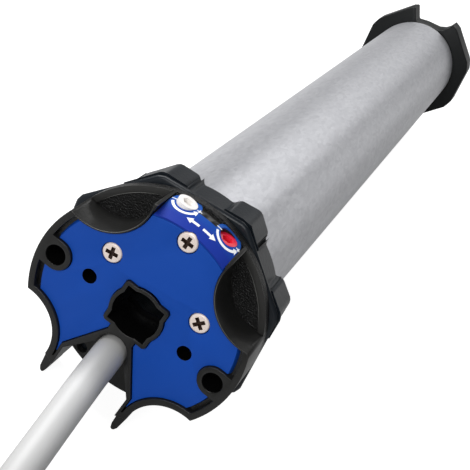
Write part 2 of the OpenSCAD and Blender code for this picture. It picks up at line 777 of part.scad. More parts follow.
// Cam wheel: toothed rim in reach of the worm, cam disc with one notch
module cam_wheel(side) {
    reach = cam_gap + cam_t + cam_disc_t + cut;
    rim_z = side > 0 ? cam_gap : -cam_gap - cam_t;
    disc_z = side > 0 ? cam_gap + cam_t : -cam_gap - cam_t - cam_disc_t;
    color(c_nylon) translate([cam_x, cam_y, 0]) difference() {
        union() {
            translate([0, 0, rim_z]) cylinder(r = cam_tip_r, h = cam_t);
            translate([0, 0, disc_z]) cylinder(r = cam_disc_r, h = cam_disc_t);
        }
        for (i = [0:cam_teeth - 1]) rotate((i + 0.5) * 360 / cam_teeth)
            block([cam_tip_r - cam_tooth_h, -cam_tooth_gap / 2, -reach],
                [cam_tip_r + cut, cam_tooth_gap / 2, reach]);
        translate([0, 0, -reach]) cylinder(r = cam_pin_r + running, h = 2 * reach);
        rotate(side * 50) block([cam_disc_r - cam_notch, -cam_notch, disc_z - (side > 0 ? 0 : cut)],
            [cam_disc_r + cut, cam_notch, disc_z + cam_disc_t + (side > 0 ? cut : 0)]);
    }
}

module cam_wheel_up() { cam_wheel(1); }
module cam_wheel_down() { cam_wheel(-1); }

// Two snap-action switches on the decks, each with its plunger at a cam
module limit_switches() {
    face_x = cam_x - cam_disc_r - switch_gap;
    color(c_black) for (z = [-deck_z, deck_z - switch_size[2]]) {
        translate([face_x - switch_size[0], cam_y - switch_size[1] / 2, z]) cube(switch_size);
        translate([face_x - eps, cam_y - plunger[1] / 2, z + switch_size[2] / 2 - plunger[2] / 2])
            cube(plunger + [eps, 0, 0]);
    }
}

module cable_plug() {
    color(c_char) block([-plug_half_w, hub_y, plug_bottom], [plug_half_w, hub_y + plug_len, plug_top]);
}

// Single leads from the plug to the capacitor and the windings
module inner_leads() {
    for (i = [0:3]) color(core_shades[i])
        rod(lead_r, hub_y + plug_len, motor_y - hub_y - plug_len, lead_pitch * (i - 1.5), lead_z);
}

module capacitor() {
    color(c_white) {
        rod(cap_r, cap_y, cap_len);
        for (x = [-tab_x, tab_x]) translate([x - tab_size[0] / 2, cap_y - tab_size[1], -tab_size[2] / 2])
            cube(tab_size + [0, eps, 0]);
    }
}

module capacitor_cradle() {
    color(c_nylon) difference() {
        union() {
            for (y = [cap_y, cap_y + cap_len / 2, cap_y + cap_len - cradle_t])
                sleeve(inner_r, cap_r, y, cradle_t);
            intersection() {
                sleeve(inner_r, cap_r, cap_y, cap_len);
                for (a = [30, 150, 210, 330]) rotate([0, a, 0])
                    block([cap_r - cut, cap_y, -cradle_t / 2], [tube_r, cap_y + cap_len, cradle_t / 2]);
            }
        }
        lead_gaps(cap_y, cap_len);
    }
}

// End shield of the motor: a cup with its bearing seat, open towards the stator
module shield(y0, stator_side) {
    cup_y = stator_side > 0 ? y0 : y0 - cup_depth;
    difference() {
        rod(inner_r, cup_y, shield_t + cup_depth);
        rod(inner_r - shield_wall, stator_side > 0 ? y0 + shield_t : cup_y - cut, cup_depth + cut);
        rod(bearing_r, y0 + shield_t / 2 - bearing_w / 2, bearing_w);
        rod(shaft_r + 1, cup_y - cut, shield_t + cup_depth + 2 * cut);
        for (a = [45:90:315]) rotate([0, a, 0]) rod(tie_hole_r, y0 - cut, shield_t + 2 * cut, tie_hole_at);
    }
}

module front_shield() { color(c_steel) shield(motor_y, 1); }
module rear_shield() { color(c_steel) shield(rear_y, -1); }

module bearing(y0) {
    color(c_steel) difference() {
        rod(bearing_r, y0 + shield_t / 2 - bearing_w / 2, bearing_w);
        rod(shaft_r + running, y0, shield_t);
        for (y = [y0 + shield_t / 2 - bearing_w / 2 - cut, y0 + shield_t / 2 + bearing_w / 2 - bearing_step])
            sleeve(bearing_r - bearing_race, shaft_r + bearing_race, y, cut + bearing_step);
    }
}

module front_bearing() { bearing(motor_y); }
module rear_bearing() { bearing(rear_y); }

// Laminated stator with its slots
module stator_core() {
    color(c_steel) prism(stator_y, stator_len) difference() {
        circle(r = inner_r);
        circle(r = stator_bore);
        for (i = [0:stator_slots - 1]) rotate(i * 360 / stator_slots) {
            translate([stator_bore + slot_tip, -slot_w / 2]) square([slot_depth, slot_w]);
            translate([stator_bore - cut, -slot_mouth / 2]) square([slot_tip + 2 * cut, slot_mouth]);
        }
    }
}

module end_windings() {
    color(c_copper) for (y = [stator_y - winding_h, stator_y + stator_len]) turned()
        translate([stator_bore + winding_in + winding_w / 2, y + winding_h / 2]) intersection() {
            square([winding_w, winding_h], center = true);
            circle(r = winding_round);
        }
}

module rotor_core() {
    color(c_steel) difference() {
        union() {
            rod(rotor_r, stator_y + 1, stator_len - 2);
            rod(rotor_r - end_ring_step, stator_y + 1 - end_ring_len, stator_len - 2 + 2 * end_ring_len);
        }
        rod(shaft_r, stator_y - end_ring_len, stator_len + 2 * end_ring_len);
    }
}

module rotor_shaft() {
    color(c_steel) rod(shaft_r, motor_y - shaft_tail, gear_y - pinion_grip - motor_y + shaft_tail);
}

// Brake: a plate slides on the housing's ribs and its spring presses it on the disc
module brake_housing() {
    color(c_nylon) difference() {
        rod(inner_r, brake_y, gear_y - brake_y);
        rod(inner_r - brake_wall, brake_y - cut, brake_web_y - brake_y + cut);
        rod(inner_r - brake_wall, brake_web_y + brake_web_t, gear_y);
        rod(brake_bore, brake_y, gear_y);
    }
}

module brake_plate() {
    color(c_steel) difference() {
        rod(inner_r - brake_wall - body_gap, brake_plate_y, brake_plate_t);
        rod(brake_plate_bore, brake_plate_y - cut, brake_plate_t + 2 * cut);
        for (a = [0:60:300]) rotate([0, a, 0])
            rod(vent_r, brake_plate_y - cut, brake_plate_t + 2 * cut, vent_at);
    }
}

module brake_disc() {
    color(c_black) difference() {
        union() {
            rod(brake_r, brake_disc_y, brake_disc_t);
            rod(brake_hub_r, brake_disc_y, brake_disc_t + brake_hub_len);
        }
        rod(shaft_r, brake_disc_y - cut, brake_disc_t + brake_hub_len + 2 * cut);
    }
}

// Points of a tube swept along a path, held upright by the Z axis
function unit(v) = v / norm(v);
function heading(path, i) = let (n = len(path) - 1)
    unit(path[min(i + 1, n)] - path[max(i - 1, 0)]);
function ring_at(path, i, r, sides) = let (
    t = heading(path, i), side = unit(cross(t, [0, 0, 1])), up = cross(side, t))
    [for (k = [0:sides - 1]) path[i] + r * (cos(360 * (k + 0.5) / sides) * side
        + sin(360 * (k + 0.5) / sides) * up)];
module swept(path, r, sides) {
    n = len(path);
    points = [for (i = [0:n - 1]) each ring_at(path, i, r, sides)];
    walls = [for (i = [0:n - 2]) for (k = [0:sides - 1]) let (
        a = i * sides + k, b = i * sides + (k + 1) % sides)
        each [[a, a + sides, b], [b, a + sides, b + sides]]];
    caps = [for (k = [1:sides - 2]) each [[0, k, k + 1],
        [(n - 1) * sides, (n - 1) * sides + k + 1, (n - 1) * sides + k]]];
    polyhedron(points = points, faces = concat(walls, caps));
}

// Brake spring: a helix along Y round the rotor shaft
module brake_spring() {
    steps = 14;
    rise = brake_plate_y - brake_travel - seat - brake_y - 2 * spring_wire_r;
    path = [for (i = [0:spring_turns * steps]) let (a = i * 360 / steps)
        [spring_r * cos(a), spring_r * sin(a), rise * i / (spring_turns * steps)]];
    color(c_steel) translate([0, brake_y + spring_wire_r, 0]) rotate([-90, 0, 0])
        swept(path, spring_wire_r, 6);
}

module motor_pinion() {
    color(c_steel) {
        difference() {
            rod(pinion_collar_r, pinion_y, gear_y - pinion_y);
            rod(shaft_r, pinion_y - cut, gear_y - pinion_grip - pinion_y + cut);
        }
        prism(gear_y - eps, stage_y + planet_w - pin_ahead - gear_y + eps)
            polygon(gear_points(gear_m, sun_teeth));
    }
}

module ring_gear() {
    color(c_steel) prism(gear_y, ring_len) difference() {
        circle(r = inner_r);
        polygon(ring_points(gear_m, ring_teeth));
    }
}

module planet(stage, index) {
    y0 = stage_y + (stage - 1) * stage_pitch;
    color(c_brass) rotate([0, -index * 120, 0]) difference() {
        prism(y0, planet_w) translate([gear_axis, 0]) rotate(180 / planet_teeth)
            polygon(gear_points(gear_m, planet_teeth));
        rod(pin_r + running, y0 - cut, planet_w + 2 * cut, gear_axis);
    }
}

module planet_1a() { planet(1, 0); }
module planet_1b() { planet(1, 1); }
module planet_1c() { planet(1, 2); }
module planet_2a() { planet(2, 0); }
module planet_2b() { planet(2, 1); }
module planet_2c() { planet(2, 2); }
module planet_3a() { planet(3, 0); }
module planet_3b() { planet(3, 1); }
module planet_3c() { planet(3, 2); }

// Planet carrier: plate and three pins
module carrier_plate(stage) {
    y0 = stage_y + (stage - 1) * stage_pitch;
    rod(carrier_r, y0 + planet_w + carrier_gap, carrier_t);
    for (i = [0:2]) rotate([0, -i * 120, 0])
        rod(pin_r, y0 - pin_ahead, planet_w + pin_ahead + carrier_gap + eps, gear_axis);
}

module stage_carrier(stage) {
    y0 = stage_y + (stage - 1) * stage_pitch;
    sun_y = y0 + planet_w + carrier_gap + carrier_t;
    color(c_steel) {
        carrier_plate(stage);
        prism(sun_y - eps, stage_pitch - carrier_gap - carrier_t - pin_ahead)
            polygon(gear_points(gear_m, sun_teeth));
    }
}

module carrier_1() { stage_carrier(1); }
module carrier_2() { stage_carrier(2); }

module output_carrier() {
    color(c_steel) carrier_plate(3);
}

// Output shaft: round in the bush, square in the drive wheel
module output_shaft() {
    color(c_steel) difference() {
        union() {
            rod(output_r, output_y, wheel_y - output_y);
            prism(wheel_y - eps, shaft_end_y - wheel_y + eps) square(output_af, center = true);
        }
        sleeve(wheel_hub_r, wheel_clip_bore, wheel_clip_y, clip_t);
    }
}

module output_bush() {
    color(c_brass) sleeve(output_r + bush_wall, output_r + running, end_flange_y,
        tube_end_y - end_flange_y + end_cap_t);
}

// Closing piece of the tube that carries the output bush
module tube_end() {
    color(c_steel) difference() {
        union() {
            rod(inner_r, end_flange_y, tube_end_y - end_flange_y);
            rod(tube_r - seat, tube_end_y, end_cap_t);
        }
        rod(output_r + bush_wall, end_flange_y - cut, tube_end_y - end_flange_y + end_cap_t + 2 * cut);
        for (a = [0:60:300]) rotate([0, a, 0])
            rod(end_hole_r, end_flange_y - cut, end_hole_depth + cut, end_hole_at);
    }
}

// Octagonal drive wheel with a notch in two opposite sides
module wheel_notch() {
    apothem = wheel_corner_r * cos(22.5);
    half = apothem * tan(22.5);
    polygon([[-half, apothem - 0.4], [-half + 3.4, notch_r - 1], [-3, notch_r - 0.2], [0, notch_r - 0.1],
        [3.6, notch_r], [6.6, notch_r + 1.2], [8.4, notch_r + 2.8], [half - 1.1, apothem - 0.6],
        [half - 0.8, apothem + 6], [-half, apothem + 6]]);
}

module drive_wheel() {
    color(c_black) difference() {
        prism(wheel_y, wheel_len) difference() {
            rotate(wheel_turn) circle(r = wheel_corner_r, $fn = 8);
            difference() {
                circle(r = wheel_corner_r + cut);
                circle(r = wheel_corner_r - wheel_blunt);
            }
            for (a = [0, 180]) rotate(wheel_turn + 67.5 - 90 + a) wheel_notch();
            square(output_af + 2 * running, center = true);
        }
        // Pockets open to the back
        prism(wheel_y + wheel_web, wheel_len) {
            difference() {
                circle(r = notch_r - wheel_pocket_wall);
                circle(r = wheel_hub_r);
                for (i = [0:7]) rotate(wheel_turn + i * 45) translate([0, -wheel_rib / 2])
                    square([head_r, wheel_rib]);
            }
            for (i = [0:7]) if (i != 1 && i != 5) rotate(wheel_turn + i * 45 + 22.5)
                translate([notch_r - 1, -wheel_pocket_w / 2])
                    square([wheel_corner_r * cos(22.5) - notch_r - wheel_rim, wheel_pocket_w]);
        }
    }
}

module wheel_clip() {
    color(c_steel) difference() {
        sleeve(wheel_clip_bore + clip_w, wheel_clip_bore, wheel_clip_y, clip_t);
        block([-clip_mouth / 3, wheel_clip_y - cut, -wheel_hub_r],
            [clip_mouth / 3, wheel_clip_y + clip_t + cut, 0]);
    }
}

module motor_tube() {
    color(c_galv) sleeve(tube_r, tube_bore, tube_y, tube_len);
}

module cable_run() {
    color(c_white) swept(run_points, cable_r, 10);
}

// Hank: a racetrack in line with the motor, two turns wide and three layers high
function smooth(t) = let (c = max(0, min(1, t))) c * c * (3 - 2 * c);
hank_shifts = [for (k = [0:len(hank_places) - 2]) hank_places[k + 1] - hank_places[k]];
function hank_place(u) = hank_places[0] + [for (k = [0:len(hank_shifts) - 1])
    smooth((u - hank_shift_first - k * hank_shift_every) / hank_shift_len + 0.5)] * hank_shifts;
hank_side = hank_run / (2 * hank_run + 2 * PI * (hank_r - hank_pitch / 2));
function hank_round(v, r) = let (fold = 0.5 - hank_side)
    v < hank_side ? [r, -hank_run * v / hank_side]
    : v < 0.5 ? [r * cos(180 * (v - hank_side) / fold), -hank_run - r * sin(180 * (v - hank_side) / fold)]
    : v < 0.5 + hank_side ? [-r, -hank_run * (1 - (v - 0.5) / hank_side)]
    : [-r * cos(180 * (v - 0.5 - hank_side) / fold), r * sin(180 * (v - 0.5 - hank_side) / fold)];
function hank_point(u) = let (
    place = hank_place(u),
    p = hank_round(u - floor(u), hank_r - hank_pitch * place[0]),
    lift = tie_lift * smooth(1 - abs(p[1] + hank_run / 2) / tie_reach))
    [hank_x + p[0], hank_y + p[1], cord_z + hank_pitch * place[1] + lift];
run_end = run_points[len(run_points) - 1];
hank_path = concat(
    [for (i = [0:hank_lead - 1]) let (t = i / hank_lead)
        [run_end[0] + (hank_x + hank_r - run_end[0]) * (1 - cos(180 * t)) / 2,
        run_end[1] + (hank_y - run_end[1]) * t, cord_z]],
    [for (i = [0:hank_turns * hank_steps]) hank_point(i / hank_steps)],
    [hank_point(hank_turns)]);
// Least distance of the hank's centre line to itself, half a turn or more apart, less one diameter
hank_gap = min([for (i = [0:len(hank_path) - 1]) for (j = [i + hank_steps / 2:len(hank_path) - 1])
    norm(hank_path[i] - hank_path[j])]) - cable_d;
echo(hank_least_gap = hank_gap);

module cable_hank() {
    color(c_white) swept(hank_path, cable_r, hank_sides);
}

// Four single cores that stand out of the sheath's end
module cable_cores() {
    n = len(hank_path) - 1;
    tail = hank_path[n];
    along = unit(tail - hank_path[n - 1]);
    out = [along[1], -along[0], 0];
    for (k = [0:3]) color(core_shades[k]) {
        spread = [-1, 1, -1, 1][k] * out + [0, 0, [-1, -1, 1, 1][k]];
        path = [for (d = [0:core_len / 4:core_len])
            tail + d * along + core_half * (1 + 0.4 * d / core_len) * spread - [0, 0, 0.001 * d * d]];
        swept(path, core_r, 8);
    }
}

// Band round the hank's waist
module hank_tie() {
    half = hank_r + cable_r + body_gap;
    top = cord_z + tie_lift + 2 * hank_pitch + cable_r + body_gap;
    color(c_black) translate([hank_x, hank_y - hank_run / 2, 0]) difference() {
        block([-half - tie_t, -tie_w / 2, floor_z], [half + tie_t, tie_w / 2, top + tie_t]);
        block([-half, -tie_w, floor_z + tie_t], [half, tie_w, top]);
    }
}

head_housing();
face_plate();
label_strip();
face_screws();
head_hub();
adjuster_up();
adjuster_down();
adjuster_rod_up();
adjuster_rod_down();
crown();
crown_clip();
limit_frame();
limit_pinion();
cam_wheel_up();
cam_wheel_down();
limit_switches();
cable_plug();
inner_leads();
capacitor();
capacitor_cradle();
front_shield();
front_bearing();
stator_core();
end_windings();
rotor_core();
rotor_shaft();
rear_shield();
rear_bearing();
brake_spring();
brake_plate();
brake_disc();
brake_housing();
motor_pinion();
ring_gear();
planet_1a();
planet_1b();
planet_1c();
carrier_1();
planet_2a();
planet_2b();
planet_2c();
carrier_2();
planet_3a();
planet_3b();
planet_3c();
output_carrier();
output_shaft();
output_bush();
tube_end();
drive_wheel();
wheel_clip();
motor_tube();
cable_run();
cable_hank();
cable_cores();
hank_tie();
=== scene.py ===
# Looks of the tubular roller blind motor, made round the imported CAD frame.
# Metres, in the frame of the CAD: +Y runs along the motor, +Z is the label side.
import math

import bpy
from mathutils import Matrix, Vector


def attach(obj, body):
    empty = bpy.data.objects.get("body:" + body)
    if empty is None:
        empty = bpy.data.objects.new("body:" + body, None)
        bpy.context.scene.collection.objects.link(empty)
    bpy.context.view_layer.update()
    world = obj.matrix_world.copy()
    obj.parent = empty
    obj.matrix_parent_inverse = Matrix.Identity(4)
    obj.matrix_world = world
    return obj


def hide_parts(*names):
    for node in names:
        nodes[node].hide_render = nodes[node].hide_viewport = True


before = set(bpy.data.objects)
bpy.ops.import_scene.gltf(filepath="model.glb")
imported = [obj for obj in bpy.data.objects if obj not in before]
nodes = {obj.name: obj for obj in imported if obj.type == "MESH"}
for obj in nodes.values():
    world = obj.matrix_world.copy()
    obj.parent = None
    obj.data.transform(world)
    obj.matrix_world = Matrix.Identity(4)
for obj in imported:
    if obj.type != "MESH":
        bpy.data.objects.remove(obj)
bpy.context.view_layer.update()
scene = bpy.context.scene

# Camera: as the photograph was taken, over the head's left shoulder and rolled
# so that the motor runs up to the right. Pieces are measured in millimetres from
# here on, and MM makes metres of them.
MM = 0.001
camera_at = Vector((25.097, -204.408, 142.120)) * MM
camera_look = Vector((-0.07532, 0.87987, -0.46920))
camera_roll = math.radians(-36.42)
camera_lens = 80.49
camera_film = 36

camera = bpy.data.objects.new("camera", bpy.data.cameras.new("camera"))
scene.collection.objects.link(camera)
camera.location = camera_at
camera.rotation_mode = "QUATERNION"
level_aim = camera_look.to_track_quat("-Z", "Y").to_matrix().to_4x4()
camera.rotation_quaternion = (Matrix.Rotation(camera_roll, 4, camera_look) @ level_aim).to_quaternion()
camera.data.lens = camera_lens
camera.data.sensor_width = camera_film
camera.data.clip_start = 0.01
camera.data.clip_end = 20
scene.camera = camera


# Head housing: one black nylon moulding with the cable's slot, two finger pockets
# and the two fins that the motor stands on. The hub is screwed to its back. Its
# edges are rounded as the tool leaves them, and its holes are smooth inside, with
# painted shade making them near black.
merge_gap, sliver = 0.002, 0.001                # in the solid's loose triangles, and in the bevel
flat_angle, sharp_angle, smooth_angle = 0.5, 32, 40
rounding_steps = 3
fixing_x, fixing_z, fixing_r = 24, -1, 2.9      # the two large holes, for the bracket's screws
small_x, small_r = 14.5, 1.95                   # the two small holes
hole_depth = 12.5
socket_r = 7.8                                  # round the square socket, for the bracket's pin
socket_front, socket_floor = -0.3, 20
housing_back = 0.7


def finish(name, colour, roughness, metallic=0.0, grain=2500, bump=0.05, drift=0.1, shine=0.5, patch=60):
    """A base colour that drifts from patch to patch, a roughness and a fine bump."""
    material = bpy.data.materials.new(name)
    material.use_nodes = True
    tree = material.node_tree
    shader = tree.nodes["Principled BSDF"]
    shader.inputs["Roughness"].default_value = roughness
    shader.inputs["Metallic"].default_value = metallic
    shader.inputs["Specular IOR Level"].default_value = shine
    place = tree.nodes.new("ShaderNodeTexCoord")
    fine = tree.nodes.new("ShaderNodeTexNoise")
    fine.inputs["Scale"].default_value = grain
    fine.inputs["Detail"].default_value = 3
    relief = tree.nodes.new("ShaderNodeBump")
    relief.inputs["Strength"].default_value = 1
    relief.inputs["Distance"].default_value = bump * MM
    wide = tree.nodes.new("ShaderNodeTexNoise")
    wide.inputs["Scale"].default_value = patch
    wide.inputs["Detail"].default_value = 4
    shade = tree.nodes.new("ShaderNodeMix")
    shade.data_type = "RGBA"
    shade.inputs["A"].default_value = (*[c * (1 - drift) for c in colour], 1)
    shade.inputs["B"].default_value = (*[min(1, c * (1 + drift)) for c in colour], 1)
    tree.links.new(place.outputs["Object"], fine.inputs["Vector"])
    tree.links.new(fine.outputs["Fac"], relief.inputs["Height"])
    tree.links.new(relief.outputs["Normal"], shader.inputs["Normal"])
    tree.links.new(place.outputs["Object"], wide.inputs["Vector"])
    tree.links.new(wide.outputs["Fac"], shade.inputs["Factor"])
    tree.links.new(shade.outputs["Result"], shader.inputs["Base Color"])
    return material


def dress(material, *names):
    """Gives CAD nodes the finish of what they are made of."""
    for name in names:
        nodes[name].data.materials.clear()
        nodes[name].data.materials.append(material)


def select_only(piece):
    """Selects one piece alone, because an operator acts on all that is selected."""
    bpy.ops.object.select_all(action="DESELECT")
    bpy.context.view_layer.objects.active = piece
    piece.select_set(True)


def rounded_moulding(name, body, material, rounding, bore=0, back=math.inf, clamp=True):
    """A copy of a CAD solid with its sharp edges rounded, which stands for the solid.

    Edges inside the bore, a radius round the motor's axis, and those behind the
    back, a distance along it, stay sharp.
    """
    dress(material, name)
    piece = bpy.data.objects.new("moulded_" + name, nodes[name].data.copy())
    scene.collection.objects.link(piece)
    piece.matrix_world = nodes[name].matrix_world.copy()
    select_only(piece)
    bpy.ops.object.transform_apply(location=True, rotation=True, scale=True)
    bpy.ops.object.mode_set(mode="EDIT")
    bpy.ops.mesh.select_all(action="SELECT")
    bpy.ops.mesh.remove_doubles(threshold=merge_gap * MM)
    bpy.ops.mesh.dissolve_limited(angle_limit=math.radians(flat_angle))
    bpy.ops.object.mode_set(mode="OBJECT")

    weights = piece.data.attributes.new("bevel_weight_edge", "FLOAT", "EDGE")
    sides_of = {}
    for face in piece.data.polygons:
        for key in face.edge_keys:
            sides_of.setdefault(key, []).append(face.normal)
    for line in piece.data.edges:
        a, b = [piece.data.vertices[v].co for v in line.vertices]
        outside = min(math.hypot(a.x, a.z), math.hypot(b.x, b.z)) > bore * MM
        in_front = max(a.y, b.y) < back * MM
        sides = sides_of[tuple(sorted(line.vertices))]
        blunt = len(sides) == 2 and sides[0].angle(sides[1], 0) < math.radians(sharp_angle)
        weights.data[line.index].value = 1.0 if outside and in_front and not blunt else 0.0
    edge = piece.modifiers.new("edge", "BEVEL")
    edge.width = rounding * MM
    edge.segments = rounding_steps
    edge.limit_method = "WEIGHT"
    edge.use_clamp_overlap = clamp
    bpy.ops.object.modifier_apply(modifier="edge")
    bpy.ops.object.mode_set(mode="EDIT")
    bpy.ops.mesh.select_all(action="SELECT")
    bpy.ops.mesh.dissolve_degenerate(threshold=sliver * MM)
    bpy.ops.object.mode_set(mode="OBJECT")
    bpy.ops.object.shade_smooth_by_angle(angle=math.radians(smooth_angle))

    piece.data.materials.clear()
    piece.data.materials.append(material)
    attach(piece, body)
    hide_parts(name)
    return piece


def shade_openings(piece, socket):
    """Gives the walls of the holes, and of the socket, the smooth finish of the tool's pins, and a near-black
    colour that is painted shade deep inside them.
    """
    piece.data.materials.append(bore_shade)
    for face in piece.data.polygons:
        x, y, z = face.center / MM
        in_fixing = math.hypot(abs(x) - fixing_x, z - fixing_z) < fixing_r
        in_small = math.hypot(abs(x) - small_x, z) < small_r
        in_hole = (in_fixing or in_small) and y < hole_depth
        in_socket = socket and math.hypot(x, z) < socket_r and y > socket_front
        in_socket = in_socket and (abs(face.normal.y) < 0.5 or y > socket_floor)
        face.material_index = 1 if in_hole or in_socket else 0


black = finish("black_moulding", (0.010, 0.010, 0.0095), 0.3, grain=1300, bump=0.04, shine=0.42)
# near black for the insides of the holes and the socket: painted shade
bore_shade = finish("bore_shade", (0.003, 0.003, 0.003), 0.12, grain=1300, bump=0.01, shine=0.3)
housing = rounded_moulding("head_housing", "motor_body", black, rounding=0.28,
                           back=housing_back)
shade_openings(housing, socket=True)

# Hub: the round plate behind the housing with the sleeve that the crown turns on,
# one charcoal nylon moulding. The plate is smooth, but where it is the floor of a
# finger pocket it has a coarse leather grain and is painted near black, as painted
# shade deep in the pocket.
pocket_floor_z = 6                      # the floors lie above this height
pocket_floor_y = 9.8                    # and behind this depth
leather_scale, leather_depth = 2400, 0.35
# the darker black on the pocket floors is painted shade
charcoal, pocket_floor_shade = (0.02, 0.02, 0.019), (0.004, 0.004, 0.004)

hub_plate = finish("hub_plate", charcoal, 0.36, shine=0.4)
tree = hub_plate.node_tree
shader = tree.nodes["Principled BSDF"]
place = tree.nodes.new("ShaderNodeTexCoord")
across = tree.nodes.new("ShaderNodeSeparateXYZ")
high = tree.nodes.new("ShaderNodeMath")
deep = tree.nodes.new("ShaderNodeMath")
floor_of_pocket = tree.nodes.new("ShaderNodeMath")
high.operation = deep.operation = "GREATER_THAN"
high.inputs[1].default_value = pocket_floor_z * MM
deep.inputs[1].default_value = pocket_floor_y * MM
floor_of_pocket.operation = "MULTIPLY"
tone = tree.nodes.new("ShaderNodeMix")
tone.data_type = "RGBA"
tone.inputs["A"].default_value = (*charcoal, 1)
tone.inputs["B"].default_value = (*pocket_floor_shade, 1)
leather = tree.nodes.new("ShaderNodeTexNoise")
leather.inputs["Scale"].default_value = leather_scale
leather.inputs["Detail"].default_value = 2
depth = tree.nodes.new("ShaderNodeMath")
depth.operation = "MULTIPLY"
relief = tree.nodes.new("ShaderNodeBump")
relief.inputs["Distance"].default_value = leather_depth * MM
tree.links.new(place.outputs["Object"], across.inputs["Vector"])
tree.links.new(place.outputs["Object"], leather.inputs["Vector"])
tree.links.new(across.outputs["Z"], high.inputs[0])
tree.links.new(across.outputs["Y"], deep.inputs[0])
tree.links.new(high.outputs[0], floor_of_pocket.inputs[0])
tree.links.new(deep.outputs[0], floor_of_pocket.inputs[1])
tree.links.new(floor_of_pocket.outputs[0], tone.inputs["Factor"])
tree.links.new(floor_of_pocket.outputs[0], depth.inputs[0])
tree.links.new(leather.outputs["Fac"], depth.inputs[1])
tree.links.new(depth.outputs[0], relief.inputs["Height"])
tree.links.new(relief.outputs["Normal"], shader.inputs["Normal"])
tree.links.new(tone.outputs["Result"], shader.inputs["Base Color"])

hub = rounded_moulding("head_hub", "motor_body", hub_plate, rounding=0.3)
shade_openings(hub, socket=True)


# Edges of the finger pockets: thin bars of a lighter grey, painted highlights where
# the lamps catch the edges of the black nylon. One runs along each pocket's front
# edge and one along the hub's band behind it, and each fades out at its ends.
def tube_along(name, spots, radius, roundness, crease, material, swell=None):
    """A round bar along a line of spots, closed at its ends; swell scales its radius."""
    line = bpy.data.curves.new(name, "CURVE")
    line.dimensions = "3D"
    line.bevel_depth = radius * MM
    line.bevel_resolution = roundness
    line.use_fill_caps = True
    spline = line.splines.new("POLY")
    spline.points.add(len(spots) - 1)
    for i, spot in enumerate(spots):
        spline.points[i].co = (*(spot * MM), 1)
        spline.points[i].radius = swell[i] if swell else 1
    piece = bpy.data.objects.new(name, line)
    scene.collection.objects.link(piece)
    select_only(piece)
    bpy.ops.object.convert(target="MESH")
    piece = bpy.context.object
    bpy.ops.object.shade_smooth_by_angle(angle=math.radians(crease))
    piece.data.materials.clear()
    piece.data.materials.append(material)
    return piece


pocket_x, pocket_z = 23.5, 23.9         # centre of a pocket's round
pocket_r, pocket_front_y, pocket_reach = 12.75, -0.66, 50           # reach in degrees each way
band_r, band_y, band_reach = 27.25, 9.42, 18
highlight_bar_r, highlight_steps = 0.1, 40

# the lighter grey of these bars is a painted highlight on the pocket edges
highlight_grey = finish("painted_highlight_edge", (0.10, 0.10, 0.095), 0.22, shine=0.6)
fade = [math.sin(math.pi * (i + 0.5) / (highlight_steps + 1)) for i in range(highlight_steps + 1)]
for side, hand in ((-1, "left"), (1, "right")):
    inward = math.degrees(math.atan2(-pocket_z, -side * pocket_x))
    outward = math.degrees(math.atan2(pocket_z, side * pocket_x))
    for name, cx, cz, r, y, middle, reach in (
            ("front", side * pocket_x, pocket_z, pocket_r, pocket_front_y, inward, pocket_reach),
            ("back", 0, 0, band_r, band_y, outward, band_reach)):
        turns = [math.radians(middle + reach * (2 * i / highlight_steps - 1)) for i in range(highlight_steps + 1)]
        ridge = tube_along(
            "pocket_edge_%s_%s" % (name, hand),
            [Vector((cx + r * math.cos(t), y, cz + r * math.sin(t))) for t in turns],
            highlight_bar_r, roundness=2, crease=60, material=highlight_grey, swell=fade)
        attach(ridge, "motor_body")

# Face plate: a thin blue cover with a satin face, moulded in one piece. It lies in
# the housing's rims, and the three face screws hold it.
blue = finish("blue_plate", (0.0055, 0.067, 0.40), 0.45, grain=2500, bump=0.006, drift=0.05, shine=0.2)
face_plate = rounded_moulding("face_plate", "motor_body", blue, rounding=0.22)
# the plate's hole walls turn near black: painted shade in the holes
shade_openings(face_plate, socket=False)

# Face screws: three zinc-plated steel pan heads with a cross recess, painted dark
# inside as shade, which go through the face plate and the housing into the hub. One
# is modelled and copied, and each copy is turned as the driver left it.
screw_head_r, screw_head_h, screw_head_rim = 2.55, 1.3, 0.5
shank_r, shank_len, shank_top = 1.3, 10, -0.6
wing_len, wing_wide, wing_deep, wing_z = 3.7, 1.15, 1.1, 0.4
wing_taper_len, wing_taper_wide = 0.55, 0.5                         # at the recess's floor
recess_reach, recess_floor, recess_rim = 2, -0.4, 0.6
screw_places = ((-13.1, 9), (13.1, 9), (0, 23.9))
left_turned, turned_on = -12, -40                                   # the first one's turn, and the next one's

zinc = finish("zinc", (0.95, 0.81, 0.74), 0.4, metallic=0.15, grain=900, bump=0.01, drift=0.08)
# the dark colour in the cross recess is painted shade
recess_shade = finish("screw_recess", (0.045, 0.022, 0.016), 0.5, metallic=0.4)
dress(zinc, "face_screws")

bpy.ops.object.select_all(action="DESELECT")
bpy.ops.mesh.primitive_cylinder_add(vertices=64, radius=screw_head_r * MM, depth=screw_head_h * MM,
                                    location=(0, 0, 0))
pan_head = bpy.context.object
rim = pan_head.modifiers.new("rim", "BEVEL")
rim.width = screw_head_rim * MM
rim.segments = 4
rim.limit_method = "ANGLE"
rim.angle_limit = math.radians(60)
bpy.ops.object.modifier_apply(modifier="rim")
for turn in (0, 90):
    bpy.ops.mesh.primitive_cube_add(size=1, location=(0, 0, wing_z * MM))
    wing = bpy.context.object
    wing.scale = (wing_len * MM, wing_wide * MM, wing_deep * MM)
    wing.rotation_euler = (0, 0, math.radians(turn))
    bpy.ops.object.transform_apply(location=True, rotation=True, scale=True)
    for corner in wing.data.vertices:
        if corner.co.z < 0:
            corner.co.x *= wing_taper_len
            corner.co.y *= wing_taper_wide
    select_only(pan_head)
    cut = pan_head.modifiers.new("recess", "BOOLEAN")
    cut.operation = "DIFFERENCE"
    cut.solver = "EXACT"
    cut.object = wing
    bpy.ops.object.modifier_apply(modifier="recess")
    bpy.data.objects.remove(wing)
